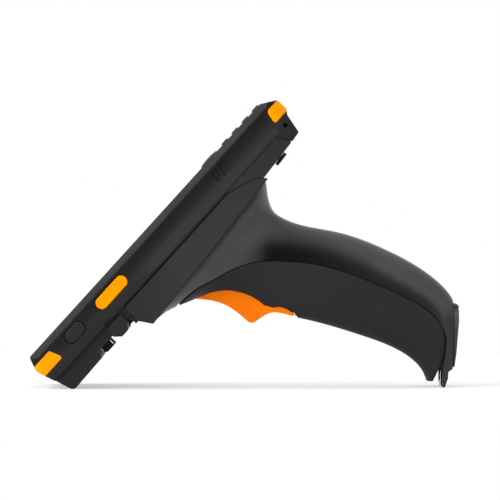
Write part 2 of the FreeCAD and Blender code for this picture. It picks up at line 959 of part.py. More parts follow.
def battery_cover():
    width = size("body_width")
    cover = side_prism(cover_outline(0), width)
    tongue = side_prism(
        [
            (size("body_length") - size("tail_split_inset") - 4, -size("split_depth") - size("seat_gap"), 0),
            (size("body_length") - size("tail_split_inset"), -size("split_depth") - size("seat_gap"), 0),
            (cover_end(), -size("end_depth") + 1.0, 0),
            (cover_end() - 4, -size("end_depth") + 1.0, 0),
        ],
        rear_width() - 10,
    )
    cover = cover.fuse(tongue.cut(terminal_form()))
    side_clear = side_prism(cradle_outline(size("part_gap")), width + 2)
    side_clear = side_clear.cut(
        symmetric_block(0, size("body_length"), rear_width(), -60, 0)
    )
    cover = cover.cut(side_clear)
    lower = symmetric_block(
        size("battery_start") - 1, size("cradle_curve_start"), width + 2, -60, 0
    ).cut(symmetric_block(0, size("body_length"), rear_width(), -60, 0))
    cover = cover.cut(lower)
    inside = side_prism(cover_outline(size("cover_wall")), rear_width() - 2 * size("cover_wall"))
    inside = inside.fuse(
        symmetric_block(
            size("battery_start") + size("cover_wall"),
            size("body_length") - size("tail_split_inset") - size("cover_wall") - 1.0,
            rear_width() - 2 * size("cover_wall"), -size("split_depth") - 2, -size("split_depth") + 1,
        )
    )
    cover = cover.cut(inside)
    slot = symmetric_block(
        size("latch_slide_place") - size("latch_stem") / 2 - 0.3,
        size("latch_slide_place") + size("latch_stem") / 2 + size("latch_slide_travel") + 0.3,
        size("latch_slide_width") * 0.5 + 0.6, -60, -size("split_depth") - 4,
    )
    cover = cover.cut(slot)
    return solid_piece("battery_cover", cover.removeSplitter(), "terminal")


def battery():
    start = size("battery_start") + size("cover_wall") + size("seat_gap")
    length = size("battery_length")
    top = -size("deck_depth") - size("deck_thickness")
    place = Placement(Vector(start + length / 2, 0, top - size("battery_thickness")), Rotation())
    cap(
        "battery_pack", "terminal", place,
        "sizes.battery_length",
        "sizes.body_width - 2 * sizes.rear_inset - 2 * sizes.cover_wall - 2 * sizes.battery_margin",
        "sizes.battery_thickness", "2.5", None,
    )


def cover_face(x):
    """Depth of the battery cover's outer face at x, on its sloping part."""
    bend = size("cover_bend")
    end = cover_end()
    share = (x - bend) / (end - bend)
    return size("cover_depth") + share * (size("end_depth") - size("cover_depth"))


def battery_latch():
    """Sliding knob on the battery cover, its stem through the cover's slot."""
    place = size("latch_slide_place")
    half = size("latch_slide_length") / 2
    face = cover_face(place)
    slope = math.degrees(
        math.atan2(size("cover_depth") - size("end_depth"), cover_end() - size("cover_bend"))
    )
    gap = size("part_gap")
    height = size("latch_slide_height")
    knob = plan_prism(-half, half, size("latch_slide_width"), 1.5, -gap - height, -gap)
    for index in range(3):
        x = (index - 1) * 2.0
        groove = across(0.4, x, -gap - height - 0.15, size("latch_slide_width") - 4)
        knob = knob.cut(groove)
    stem = symmetric_block(
        -size("latch_stem") / 2, size("latch_stem") / 2, size("latch_slide_width") * 0.5,
        -gap, size("cover_wall") + 0.2,
    )
    latch = knob.fuse(stem).removeSplitter()
    latch.Placement = Placement(
        Vector(place, 0, -face), Rotation(Vector(0, 1, 0), -slope)
    )
    return solid_piece("battery_latch", latch, "terminal")


def strap_anchor():
    """Loop behind the head that the hand strap hooks into."""
    start = size("anchor_start") + size("part_gap")
    end = start + size("anchor_length")
    low = -size("anchor_depth")
    seat = -size("waist_depth")
    outline = [
        (start + 1.0, seat, 0.0),
        (start + 1.0, seat - 1.6, 0.5),
        (start + 0.2, low + 1.4, 0.6),
        (start + 2.0, low, 0.8),
        (end, low, 0.6),
        (end, seat, 0.0),
    ]
    form = side_prism(outline, size("anchor_width"))
    slot_end = end - size("anchor_lip")
    slot = symmetric_block(
        slot_end - size("anchor_slot"), slot_end, size("anchor_width") + 2, low + 0.7, seat - 0.7
    )
    return solid_piece("strap_anchor", form.cut(slot), "terminal")


# Cradle and its front catch
def cradle_outline(grow=0.0):
    """Side outline of the cradle, in the terminal frame."""
    start = size("cradle_start")
    return [
        (start - grow, -size("cradle_top") + grow, 0.0),
        (size("cradle_curve_start") + grow, -size("cradle_top") + grow, 8.0),
        (size("cradle_end") - 5.0 + grow, -size("cradle_lip_depth") + 5.6 + grow, 5.0),
        (size("cradle_end") + grow, -size("cradle_lip_depth"), 0.3),
        (size("chin_place"), -size("chin_depth") - grow, 0.8),
        (start - 0.4 - grow, -size("cradle_lip_depth"), 1.5),
    ]


def cradle():
    width = size("body_width")
    gap = size("seat_gap")
    form = side_prism(cradle_outline(), width)
    inner = rear_width() + 2 * gap
    waist = symmetric_block(
        size("cradle_start") - 5, size("battery_start"), inner, -size("waist_depth") , 0
    )
    bay = symmetric_block(
        size("battery_start") - gap, size("cradle_end") + 5, inner, -size("cover_depth") - gap, 0
    )
    form = form.cut(waist).cut(bay)
    web = symmetric_block(
        size("cradle_start") - size("web_thickness"), size("cradle_start") + 1, inner - 4,
        -size("cradle_lip_depth"), -size("waist_depth"),
    )
    tongue_low = -size("waist_depth") - 1.2 - size("tongue_height")
    tongue = symmetric_block(
        size("catch_start") + 3.0, size("cradle_start"), size("tongue_width"),
        tongue_low, tongue_low + size("tongue_height"),
    )
    form = form.fuse([web, tongue])
    contact = symmetric_block(
        size("contact_place") - size("contact_length") / 2,
        size("contact_place") + size("contact_length") / 2,
        size("contact_width"), -size("waist_depth") - size("contact_height"), 0,
    )
    form = form.cut(contact)
    return solid_piece("cradle", form.removeSplitter(), "terminal")


def contact_block():
    base = -size("waist_depth") - size("contact_height")
    body = symmetric_block(
        size("contact_place") - size("contact_length") / 2,
        size("contact_place") + size("contact_length") / 2,
        size("contact_width"), base, -size("waist_depth"),
    )
    for row in (-1, 1):
        for column in range(5):
            x = size("contact_place") + (column - 2) * 4.2
            well = Part.makeCylinder(1.1, 1.5, Vector(x, row * 3.0, -size("waist_depth") - 1.5))
            body = body.cut(well)
    return solid_piece("contact_block", body, "terminal")


def front_catch():
    """Clip that hooks the terminal's sides and slides towards the grip to let it go."""
    start = size("catch_start")
    end = start + size("catch_length")
    top = -21.6
    floor_top = -size("waist_depth") - size("part_gap")
    low = floor_top - size("catch_floor")
    chamfer = size("catch_chamfer")
    outline = [
        (start, top, 0.4),
        (end, top, 0.4),
        (end, low + chamfer, 0.4),
        (end - chamfer, low, 0.4),
        (start + chamfer, low, 0.4),
        (start, low + chamfer, 0.4),
    ]
    form = side_prism(outline, size("body_width") - 0.4)
    inner = rear_width() + 2 * size("part_gap")
    form = form.cut(symmetric_block(start - 1, end + 1, inner, floor_top, 0))
    gap = size("part_gap")
    tongue_low = -size("waist_depth") - 1.2 - size("tongue_height")
    travel = size("catch_travel")
    slot = symmetric_block(
        start + 3.0 - travel - gap, end + 1, size("tongue_width") + 2 * gap,
        tongue_low - gap, tongue_low + size("tongue_height") + gap,
    )
    return solid_piece("front_catch", form.cut(slot), "terminal")


# Grip
def oval(front, back, half_width, squareness):
    """Closed smooth section between a front and a back point of the side view."""
    centre = (front + back) * 0.5
    reach = (back - front) * 0.5
    count = 20
    points = []
    for index in range(count):
        angle = 2 * math.pi * index / count
        along = math.copysign(abs(math.cos(angle)) ** (2 / squareness), math.cos(angle))
        aside = math.copysign(abs(math.sin(angle)) ** (2 / squareness), math.sin(angle))
        points.append(centre + reach * along + Vector(0, half_width * aside, 0))
    curve = Part.BSplineCurve()
    curve.interpolate(Points=points, PeriodicFlag=True)
    return Part.Wire(curve.toShape())


def grip_form():
    """Grip as one smooth loft from the cradle's underside to beyond its base."""
    neck = size("neck_half_width")
    half = size("grip_half_width")
    first = (levelled(66.0, -38.3), levelled(162.0, -31.7), neck, 8.0)
    stations = [
        ((78.6, 27.6), (134.6, 96.6), 0.90 * neck, 5.5),
        ((84.9, 30.6), (135.6, 91.9), 0.775 * neck, 4.4),
        ((91.7, 33.2), (136.6, 88.0), 0.66 * neck, 3.6),
        ((102.0, 36.4), (138.6, 84.0), 1.21 * half, 3.0),
        ((118.0, 33.4), (144.0, 80.0), 1.04 * half, 2.6),
        ((136.0, 27.6), (154.5, 76.0), half, 2.5),
        ((159.5, 22.2), (175.3, 71.9), half, 2.6),
        ((187.8, 14.0), (202.5, 62.0), half, 2.7),
        ((208.0, 6.2), (222.0, 51.4), half, 2.9),
        ((218.6, -1.0), (232.4, 43.4), half, 3.0),
        ((225.0, -11.0), (239.2, 35.6), 0.98 * half, 3.0),
        ((237.5, -30.0), (254.5, 18.0), 0.94 * half, 3.0),
    ]
    sections = [oval(*first)]
    for front, back, width, squareness in stations:
        start = Vector(front[0], 0, front[1])
        end = Vector(back[0], 0, back[1])
        sections.append(oval(start, end, width, squareness))
    return Part.makeLoft(sections, True, False)


SEAM = [
    (76.0, 22.0), (84.9, 31.5), (95.2, 40.5), (105.2, 45.9), (114.2, 50.9), (123.2, 54.4),
    (132.2, 56.2), (145.7, 56.2), (161.7, 54.6), (188.7, 46.6), (215.7, 34.4), (229.0, 25.6),
    (234.0, 18.6), (235.8, 13.6),
]


def spline(points):
    curve = Part.BSplineCurve()
    curve.interpolate([Vector(x, -60, z) for x, z in points])
    return curve.toShape()


def offset_points(points, distance):
    """Points moved sideways from the line through them, to its right for a positive distance."""
    moved = []
    for index, (x, z) in enumerate(points):
        before = points[max(index - 1, 0)]
        after = points[min(index + 1, len(points) - 1)]
        dx = after[0] - before[0]
        dz = after[1] - before[1]
        reach = math.hypot(dx, dz)
        moved.append((x + distance * dz / reach, z - distance * dx / reach))
    return moved


def region(edge, rest):
    """Prism across the grip whose side outline is a curved edge closed by straight lines."""
    ends = [edge.Vertexes[-1].Point] + [Vector(x, -60, z) for x, z in rest]
    ends.append(edge.Vertexes[0].Point)
    lines = [Part.makeLine(a, b) for a, b in zip(ends, ends[1:])]
    return Part.Face(Part.Wire([edge] + lines)).extrude(Vector(0, 120, 0))


def foot_level():
    """Height of the surface in the level frame: the lowest corner of the terminal's head."""
    rear = next(item for item, _, _ in pieces if item.Label == "rear_housing")
    shape = rear.Shape.copy()
    shape.Placement = tilt
    return shape.optimalBoundingBox(False, False).ZMin


def swung(x, z):
    """A point of the trigger at the end of its pull."""
    pivot = Vector(size("pivot_x"), 0, size("pivot_z"))
    turn = Rotation(Vector(0, -1, 0), size("trigger_angle"))
    return pivot + turn.multVec(Vector(x, 0, z) - pivot)


def trigger_pocket():
    """Space behind the trigger, wide enough for its whole swing."""
    arm = swung(134.0, 42.0)
    tail = swung(151.9, 32.0)
    outline = [
        (93.8, 10.0, 0.0),
        (93.8, 38.5, 1.0),
        (98.0, 47.2, 2.0),
        (112.0, 49.0, 4.0),
        (arm.x, arm.z, 4.0),
        (tail.x, tail.z, 1.5),
        (tail.x, 10.0, 0.0),
    ]
    return side_prism(outline, size("trigger_width") + 2 * size("trigger_gap"))


def bay():
    """Bore for the cell, opening through the base face."""
    angle = math.radians(size("bay_angle"))
    direction = Vector(-math.cos(angle), 0, math.sin(angle))
    mouth = Vector(size("base_face"), 0, 13.0)
    return mouth, direction


def bay_bore():
    mouth, direction = bay()
    outside = 12.0
    depth = size("cell_sink") + size("cell_length") + size("cell_gap")
    start = mouth - direction * outside
    radius = size("cell_radius") + size("cell_gap")
    return Part.makeCylinder(radius, outside + depth, start, direction)


def grip_cell():
    mouth, direction = bay()
    start = mouth + direction * size("cell_sink")
    cell = Part.makeCylinder(size("cell_radius"), size("cell_length"), start, direction)
    tip = Part.makeCylinder(2.5, 1.2, start - direction * 1.2, direction)
    return solid_piece("grip_cell", cell.fuse(tip).removeSplitter(), "level")


def hinge_ears():
    """Ears that carry the lid's pin."""
    x = size("lid_hinge_x")
    z = size("lid_hinge_z")
    radius = size("lid_barrel")
    inner = size("lid_barrel_width") / 2 + size("part_gap")
    ears = []
    for low in (inner, -inner - size("lid_ear")):
        round_end = Part.makeCylinder(radius, size("lid_ear"), Vector(x, low, z), Vector(0, 1, 0))
        root = block((x - 6, low, z - radius), (x, low + size("lid_ear"), z + radius))
        ears.append(round_end.fuse(root))
    pin_hole = across(size("lid_pin_radius"), x, z, 60)
    return [ear.cut(pin_hole) for ear in ears]


def rounded_seam(shell):
    """Shell with the long edge that it shares with the other shell rounded over."""
    solid = shell.Solids[0]
    seam = max(solid.Edges, key=lambda edge: edge.Length)
    return solid.makeFillet(size("seam_round"), [seam])


def grip_shells():
    form = grip_form()
    foot = foot_level()
    base = size("base_face")
    gap = size("seam_gap")
    gap_all = size("part_gap")
    upper_edge = spline(SEAM + [(235.9, 7.0), (234.8, 0.0), (234.0, -6.0)])
    upper = region(
        upper_edge,
        [
            (233.8, foot), (235.2, foot), (237.0, -9.8), (237.2, -6.4), (239.6, -4.6),
            (base, 12.0), (base + 0.2, 33.6), (262.0, 60.0), (262.0, 160.0), (40.0, 160.0), (40.0, 22.0),
        ],
    )
    lower_edge = spline(offset_points(SEAM, gap)[:-1] + [(235.0, 10.0), (233.9, 2.0), (231.4, -5.4), (228.4, foot + 3.4)])
    lower = region(
        lower_edge, [(224.0, foot + 3.4), (180.0, foot - 20.0), (60.0, foot - 20.0), (60.0, 20.0)]
    )
    clear = side_prism(cradle_outline(size("seat_gap")), 120)
    clear.Placement = tilt
    arch = across(size("arch_radius"), 112.3, 8.9, 80)
    finger = across(size("finger_radius"), 141.3, 19.4, 80)
    pocket_space = trigger_pocket()
    pin = across(size("pin_radius"), size("pivot_x"), size("pivot_z"), size("pin_length"))
    bore = bay_bore()
    screws = [grip_screw_space(*place) for place in GRIP_SCREWS]
    front = form.common(lower).cut(clear)
    for cutter in [arch, finger, pocket_space, pin, bore] + screws:
        front = front.cut(cutter)
    back = form.common(upper).cut(clear)
    barrel = across(
        size("lid_barrel") + gap_all, size("lid_hinge_x"), size("lid_hinge_z"),
        size("lid_barrel_width") + 2 * gap_all,
    )
    for cutter in [pocket_space, bore, arch, barrel] + screws:
        back = back.cut(cutter)
    back = back.fuse(hinge_ears()).removeSplitter()
    solid_piece("grip_back_shell", back, "level")
    solid_piece("grip_front_shell", rounded_seam(front), "level")


GRIP_SCREWS = [(160.0, 21.6), (178.0, 16.2)]


def grip_screw_axis():
    return Vector(0.29, 0, 0.957).normalize()


def grip_screw_space(x, z):
    axis = grip_screw_axis()
    seat = Vector(x, 0, z) + axis * size("grip_screw_sink")
    reach = 10.0
    mouth = seat - axis * (reach - size("screw_head_height"))
    head = Part.makeCylinder(size("screw_head_radius"), reach, mouth, axis)
    shank = Part.makeCylinder(size("screw_radius"), size("grip_screw_length"), seat, axis)
    return head.fuse(shank)


def grip_screws():
    axis = grip_screw_axis()
    group = []
    for x, z in GRIP_SCREWS:
        one = screw(size("grip_screw_length"))
        seat = Vector(x, 0, z) + axis * size("grip_screw_sink")
        one.Placement = Placement(seat, Rotation(Vector(0, 0, 1), axis))
        group.append(one)
    return solid_piece("grip_screws", Part.makeCompound(group), "level")


# Trigger group
def trigger_outline():
    """Closed side outline of the trigger: finger pads below, pivot arm above."""
    low = -size("trigger_width") / 2
    pads = [
        (94.8, 34.6), (100.1, 34.2), (107.0, 32.9), (114.2, 29.9), (119.6, 26.0), (124.0, 22.2),
    ]
    upper = Part.BSplineCurve()
    upper.interpolate([Vector(x, low, z) for x, z in pads])
    ridge = Part.Arc(
        Vector(124.0, low, 22.2), Vector(126.8, low, 21.1), Vector(129.4, low, 22.4)
    )
    finger = Part.BSplineCurve()
    finger.interpolate(
        [Vector(x, low, z) for x, z in [(129.4, 22.4), (133.4, 25.0), (138.0, 26.9), (143.0, 26.6), (149.6, 24.9)]]
    )
    behind = [
        (149.6, 24.9), (150.6, 25.6), (150.2, 29.0), (141.0, 33.0), (128.0, 36.4), (124.0, 37.0),
        (123.6, 38.8), (120.0, 38.8), (119.6, 37.6), (108.2, 42.4),
    ]
    lines = [
        Part.makeLine(Vector(a[0], low, a[1]), Vector(b[0], low, b[1]))
        for a, b in zip(behind, behind[1:])
    ]
    top = Part.Arc(
        Vector(108.2, low, 42.4),
        Vector(size("pivot_x"), low, size("pivot_z") + size("boss_radius")),
        Vector(99.9, low, 41.0),
    ).toShape()
    lines += [
        top,
        Part.makeLine(Vector(99.9, low, 41.0), Vector(95.4, low, 37.2)),
        Part.makeLine(Vector(95.4, low, 37.2), Vector(94.8, low, 34.6)),
    ]
    return Part.Wire([upper.toShape(), ridge.toShape(), finger.toShape()] + lines)


def trigger():
    width = size("trigger_width")
    form = Part.Face(trigger_outline()).extrude(Vector(0, width, 0))
    grip_edges = []
    for edge in form.Edges:
        box = edge.BoundBox
        flat = box.YLength < 1e-6
        outer = box.ZMax < 35.0 and box.XLength > 2.0
        if flat and outer:
            grip_edges.append(edge)
    form = form.makeFillet(1.2, grip_edges)
    pin = across(
        size("pin_radius") + size("pin_clearance"), size("pivot_x"), size("pivot_z"), width + 2
    )
    notch_radius = size("spring_outer") + size("part_gap")
    notch_width = size("spring_width") + 2 * size("part_gap")
    notch = across(notch_radius, size("pivot_x"), size("pivot_z"), notch_width)
    open_top = symmetric_block(
        size("pivot_x") - notch_radius, size("pivot_x") + notch_radius, notch_width,
        size("pivot_z"), size("pivot_z") + 10,
    )
    form = form.cut(pin).cut(notch).cut(open_top)
    solid_piece("trigger", form, "level")


def trigger_mechanism():
    place = Placement(
        Vector(size("pivot_x"), size("pin_length") / 2, size("pivot_z")),
        Rotation(Vector(1, 0, 0), 90),
    )
    disc("trigger_pin", "level", place, "sizes.pin_radius", "sizes.pin_length")
    coil = across(size("spring_outer"), size("pivot_x"), size("pivot_z"), size("spring_width"))
    bore = across(size("spring_inner"), size("pivot_x"), size("pivot_z"), size("spring_width") + 2)
    leg_low = size("pivot_x") - size("spring_outer")
    leg = symmetric_block(
        leg_low, leg_low + size("spring_leg"), size("spring_leg"), size("pivot_z"), 47.4
    )
    solid_piece("trigger_spring", coil.cut(bore).fuse(leg).cut(bore), "level")
    top = 46.2
    switch = symmetric_block(
        118.0, 118.0 + size("switch_length"), size("switch_width"), top - size("switch_height"), top
    )
    solid_piece("trigger_switch", switch, "level")


# Base lid
def lid_leaf():
    gap = size("part_gap")
    base = size("base_face") + gap
    top = size("lid_hinge_z")
    low = top - size("lid_height") - 1.4
    thick = size("lid_thickness")
    outline = [
        (base, top + 0.6, 0.0),
        (base + 1.4, top + 1.4, 0.6),
        (base + thick, top - 1.0, 1.6),
        (base + thick + 0.1, top - 8.0, 14.0),
        (base + 1.6, low + 8.0, 14.0),
        (base + 0.5, low, 0.4),
        (base, low, 0.0),
    ]
    leaf = side_prism(outline, size("lid_width"))
    half = size("lid_width") / 2
    face = rounded_wire(
        [(-half, low - 1, 3.0), (half, low - 1, 3.0), (half, top + 3, 9.0), (-half, top + 3, 9.0)],
        lambda y, z: Vector(base - 5, y, z),
    )
    front = Part.Face(face).extrude(Vector(20, 0, 0))
    return leaf.common(front)


def base_lid():
    x = size("lid_hinge_x")
    z = size("lid_hinge_z")
    radius = size("lid_barrel")
    width = size("lid_barrel_width")
    gap = size("part_gap")
    leaf = lid_leaf()
    ear_width = size("lid_ear") + 2 * gap
    for side in (-1, 1):
        centre = side * (width / 2 + gap + size("lid_ear") / 2)
        leaf = leaf.cut(
            block(
                (x - 6, centre - ear_width / 2, z - radius - gap),
                (x + 6, centre + ear_width / 2, z + 6),
            )
        )
    barrel = across(radius, x, z, width)
    lid = leaf.fuse(barrel)
    hole = across(size("lid_pin_radius") + size("pin_clearance"), x, z, 60)
    lid = lid.cut(hole).removeSplitter()
    solid_piece("base_lid", lid, "level")
    length = width + 2 * (gap + size("lid_ear"))
    pin = across(size("lid_pin_radius"), x, z, length)
    solid_piece("lid_pin", pin, "level")


def lanyard_bar():
    """Steel staple between the toe and the base, for a lanyard."""
    wire = size("lanyard_wire")
    half = size("lanyard_width") / 2
    x = 233.8 - wire
    low = foot_level() + 1.4
    high = low + size("lanyard_height")
    path = Part.Wire(
        [
            Part.makeLine(Vector(x, -half, high), Vector(x, -half, low + 2)),
            Part.Arc(
                Vector(x, -half, low + 2),
                Vector(x, -half + 2 * (1 - math.sqrt(0.5)), low + 2 * (1 - math.sqrt(0.5))),
                Vector(x, -half + 2, low),
            ).toShape(),
            Part.makeLine(Vector(x, -half + 2, low), Vector(x, half - 2, low)),
            Part.Arc(
                Vector(x, half - 2, low),
                Vector(x, half - 2 * (1 - math.sqrt(0.5)), low + 2 * (1 - math.sqrt(0.5))),
                Vector(x, half, low + 2),
            ).toShape(),
            Part.makeLine(Vector(x, half, low + 2), Vector(x, half, high)),
        ]
    )
    ring = Part.Wire(Part.makeCircle(wire, Vector(x, -half, high), Vector(0, 0, -1)))
    staple = path.makePipeShell([ring], True, True)
    return solid_piece("lanyard_bar", staple, "level")


# Terminal
front_housing()
rear_housing()
corner_bumpers()
screen()
board()
keys()
keypad_mat()
side_button_caps()
scanner()
housing_screws()
battery()
battery_cover()
battery_latch()
strap_anchor()
# Cradle
cradle()
contact_block()
front_catch()
# Grip
grip_shells()
grip_screws()
trigger()
trigger_mechanism()
grip_cell()
base_lid()
lanyard_bar()
doc.recompute()

# Stand the object on the surface, its footprint's middle at the origin
boxes = FreeCAD.BoundBox()
for item, frame, place in pieces:
    local = item.Shape.copy()
    local.Placement = (tilt if frame == "terminal" else Placement()) * place * local.Placement
    for point in local.tessellate(0.02)[0]:
        boxes.add(point)
stance = Placement(
    Vector(-(boxes.XMin + boxes.XMax) / 2, -(boxes.YMin + boxes.YMax) / 2, -boxes.ZMin), Rotation()
)
for item, frame, place in pieces:
    item.Placement = stance * (tilt if frame == "terminal" else Placement()) * place * item.Placement
doc.recompute()

# Check and write
for item in doc.Objects:
    if "Invalid" in item.State or "Error" in item.State:
        raise RuntimeError("%s did not compute: %s" % (item.Label, item.State))
os.makedirs("parts", exist_ok=True)
for item, _, _ in pieces:
    shape = item.Shape
    if shape.isNull() or not shape.isValid():
        raise RuntimeError("%s has no valid shape" % item.Label)
    shape.exportStep("parts/%s.step" % item.Label)
box = FreeCAD.BoundBox()
for item, _, _ in pieces:
    box.add(item.Shape.BoundBox)
print("pieces", len(pieces))
print("stance", stance.Base)
print("box", box)
for item, _, _ in pieces:
    print("%-22s solids %d volume %9.1f" % (item.Label, len(item.Shape.Solids), item.Shape.Volume))
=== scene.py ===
import math

import bpy
from mathutils import Matrix, Vector


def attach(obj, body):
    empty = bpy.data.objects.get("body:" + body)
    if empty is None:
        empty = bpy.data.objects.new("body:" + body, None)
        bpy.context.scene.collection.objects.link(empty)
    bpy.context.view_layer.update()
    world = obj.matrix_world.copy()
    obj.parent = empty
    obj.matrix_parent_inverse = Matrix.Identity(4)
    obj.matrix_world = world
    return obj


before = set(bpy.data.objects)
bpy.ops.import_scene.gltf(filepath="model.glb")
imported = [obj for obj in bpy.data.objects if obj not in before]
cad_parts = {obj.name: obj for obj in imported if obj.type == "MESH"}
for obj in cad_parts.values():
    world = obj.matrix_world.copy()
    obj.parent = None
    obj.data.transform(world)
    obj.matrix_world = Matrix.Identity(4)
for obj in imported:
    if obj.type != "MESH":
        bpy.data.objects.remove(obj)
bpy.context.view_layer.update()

# Frame of the terminal: its front face leans back, and its keypad end points up
TILT = math.radians(47.71)
ALONG = Vector((math.cos(TILT), 0.0, math.sin(TILT)))
NORMAL = Vector((-math.sin(TILT), 0.0, math.cos(TILT)))
ACROSS = Vector((0.0, 1.0, 0.0))

# Step from the level frame, in which the front face starts at zero, to the row frame, in metres
SHIFT = Vector((-0.123003, 0.0, 0.015076))

# Colours as linear values
BODY_GREY = (0.0150, 0.0150, 0.0155)
REAR_GREY = (0.0142, 0.0142, 0.0147)
GRIP_GREY = (0.0165, 0.0165, 0.0170)
SHELL_GREY = (0.069, 0.069, 0.0695)
SOFT_GREY = (0.0188, 0.0188, 0.0192)
# The lid's grey is paler than its own colour, to make up for the light it misses facing away from the lamps:
# partly painted light
LID_GREY_PAINTED_LIGHT = (0.085, 0.085, 0.0855)
KEY_GREY = (0.032, 0.032, 0.033)
MAT_GREY = (0.16, 0.16, 0.16)
BLACK = (0.008, 0.008, 0.009)
BATTERY_GREY = (0.05, 0.052, 0.06)
INSERT_ORANGE = (1.0, 0.325, 0.0)
TRIGGER_ORANGE = (1.0, 0.205, 0.002)
POWER_RED = (0.16, 0.008, 0.010)
LEGEND_WHITE = (0.78, 0.78, 0.76)
GLASS_BLACK = (0.006, 0.007, 0.009)
DISPLAY_BLACK = (0.010, 0.011, 0.013)
WINDOW_RED = (0.040, 0.002, 0.004)
STEEL = (0.52, 0.52, 0.53)
BLACKENED_STEEL = (0.030, 0.030, 0.031)
BRIGHT_STEEL = (0.80, 0.80, 0.82)
BOARD_GREENS = {
    "Color1": (0.010, 0.075, 0.030, 1.0),
    "Color2": (0.012, 0.085, 0.034, 1.0),
    "Mortar": (0.030, 0.160, 0.070, 1.0),
}

# Specular levels of the plastics
BODY_GLOSS = 0.16
SHELL_GLOSS = 0.05
SOFT_GLOSS = 0.12
ORANGE_GLOSS = 0.02

# Grain: noise scales, and the depth of its relief in metres
PLASTIC_GRAIN = 2600.0
SOFT_GRAIN = 1900.0
GRAIN_DEPTH = 0.00004
DRAWN_GRAIN = 1800.0
POLISHED_GRAIN = 900.0
DRAWN_DEPTH = 0.00002

# Radii of softened edges, in metres
PLASTIC_EDGE = 0.0004
FRONT_EDGE = 0.0010
TRIGGER_EDGE = 0.0006
GLASS_EDGE = 0.0003
METAL_EDGE = 0.0002

# Values between which noise mostly lies, and the match of normals below which an edge is fully worn
NOISE_LOW = 0.25
NOISE_HIGH = 0.75
FULL_WEAR = 0.80
ROUGHNESS_SPREAD = 0.05

# Seam between the grip's shells in the level frame, above which shade is painted, as (x, z, share of painted
# shade, reach of painted shade) in mm
SEAM = [
    (84.9, 31.5, 0.0, 12.0), (105.2, 45.9, 0.0, 12.0), (118.0, 52.6, 0.15, 12.0), (126.0, 55.2, 0.4, 13.0),
    (132.2, 56.2, 0.75, 15.0), (139.0, 56.5, 1.0, 17.5), (145.7, 56.2, 1.0, 17.5), (161.7, 54.6, 0.95, 16.0),
    (175.0, 51.0, 0.9, 15.0), (188.7, 46.6, 0.85, 13.0), (202.0, 40.8, 0.8, 10.5), (215.7, 34.4, 0.8, 8.5),
    (229.0, 25.6, 0.7, 7.0), (234.0, 18.6, 0.4, 6.0),
]
SEAM_PROFILE = [(0.0, 1.0), (0.25, 0.98), (0.45, 0.86), (0.62, 0.60), (0.8, 0.25), (1.0, 0.0)]
# How deep the painted shade above the seam goes
SEAM_PAINTED_SHADE_DEPTH = 0.97
HEIGHT_LIMIT = 100.0
REACH_LIMIT = 20.0

# Line where the neck meets the cradle, along which shade is painted, as (along, depth) in the terminal's
# frame, in mm
CREASE = [(66.0, -38.3), (162.0, -31.7)]
CREASE_REACH = 0.0035
CREASE_PAINTED_DARK = 0.30

# Painted shade in a band below the front edge: its depth in metres, and its level from the back to the face
BAND_DEPTH = 0.020
BAND_PROFILE = [
    (0.0, 0.75), (0.15, 0.85), (0.3, 1.0), (0.42, 0.75),
    (0.55, 0.45), (0.7, 0.32), (0.8, 0.32), (1.0, 1.0),
]


def new_object(name, data):
    """Object in the scene."""
    item = bpy.data.objects.new(name, data)
    bpy.context.scene.collection.objects.link(item)
    return item


# Nodes
def feed(tree, node, inputs):
    """Gives a node's inputs numbers, colours or other nodes' outputs."""
    for label, item in inputs.items():
        if isinstance(item, bpy.types.NodeSocket):
            tree.links.new(item, node.inputs[label])
        else:
            node.inputs[label].default_value = item


def add_node(tree, kind, inputs=None, **settings):
    node = tree.nodes.new("ShaderNode" + kind)
    for label, value in settings.items():
        setattr(node, label, value)
    feed(tree, node, inputs or {})
    return node


def object_place(tree):
    """Position on the object, in metres in the row frame."""
    return add_node(tree, "TexCoord").outputs["Object"]


def mapped(tree, value, low, high, to_low=0.0, to_high=1.0, kind="LINEAR"):
    """A value's range from low to high mapped onto another range, and held at its ends."""
    inputs = {"Value": value, "From Min": low, "From Max": high, "To Min": to_low, "To Max": to_high}
    return add_node(tree, "MapRange", inputs, interpolation_type=kind).outputs["Result"]


def operation(tree, kind, first, second):
    """Result of one maths node."""
    return add_node(tree, "Math", {0: first, 1: second}, operation=kind).outputs["Value"]


def dot_product(tree, first, second):
    return add_node(tree, "VectorMath", {0: first, 1: second}, operation="DOT_PRODUCT").outputs["Value"]


def tinted(tree, colour, factor):
    """Colour multiplied by a value."""
    return add_node(tree, "VectorMath", {0: colour, "Scale": factor}, operation="SCALE").outputs["Vector"]


def smooth_curve(tree, value, points):
    """Smooth curve through points of the unit square."""
    node = add_node(tree, "FloatCurve", {"Value": value})
    curve = node.mapping.curves[0]
    curve.points[0].location = points[0]
    curve.points[1].location = points[-1]
    for x, y in points[1:-1]:
        curve.points.new(x, y)
    node.mapping.update()
    return node.outputs["Value"]


def noise(tree, scale, detail=2.0, roughness=0.5):
    inputs = {"Vector": object_place(tree), "Scale": scale, "Detail": detail, "Roughness": roughness}
    return add_node(tree, "TexNoise", inputs).outputs["Fac"]


def varied(tree, low, high, scale, detail=2.0, roughness=0.5):
    """Noise mapped onto a range."""
    return mapped(tree, noise(tree, scale, detail, roughness), NOISE_LOW, NOISE_HIGH, low, high)


def soft_edges(tree, radius):
    """Normal that turns smoothly round the edges."""
    return add_node(tree, "Bevel", {"Radius": radius}, samples=4).outputs["Normal"]


def edge_wear(tree, rounded, amount):
    """One on flat stretches, more than one along edges."""
    flat = add_node(tree, "NewGeometry").outputs["Normal"]
    return mapped(tree, dot_product(tree, flat, rounded), FULL_WEAR, 1.0, 1.0 + amount, 1.0)


def bumped(tree, height, strength, distance, normal):
    inputs = {"Strength": strength, "Distance": distance, "Height": height, "Normal": normal}
    return add_node(tree, "Bump", inputs).outputs["Normal"]


# Materials
def new_material(name):
    material = bpy.data.materials.new(name)
    material.use_nodes = True
    tree = material.node_tree
    return material, tree, tree.nodes["Principled BSDF"]


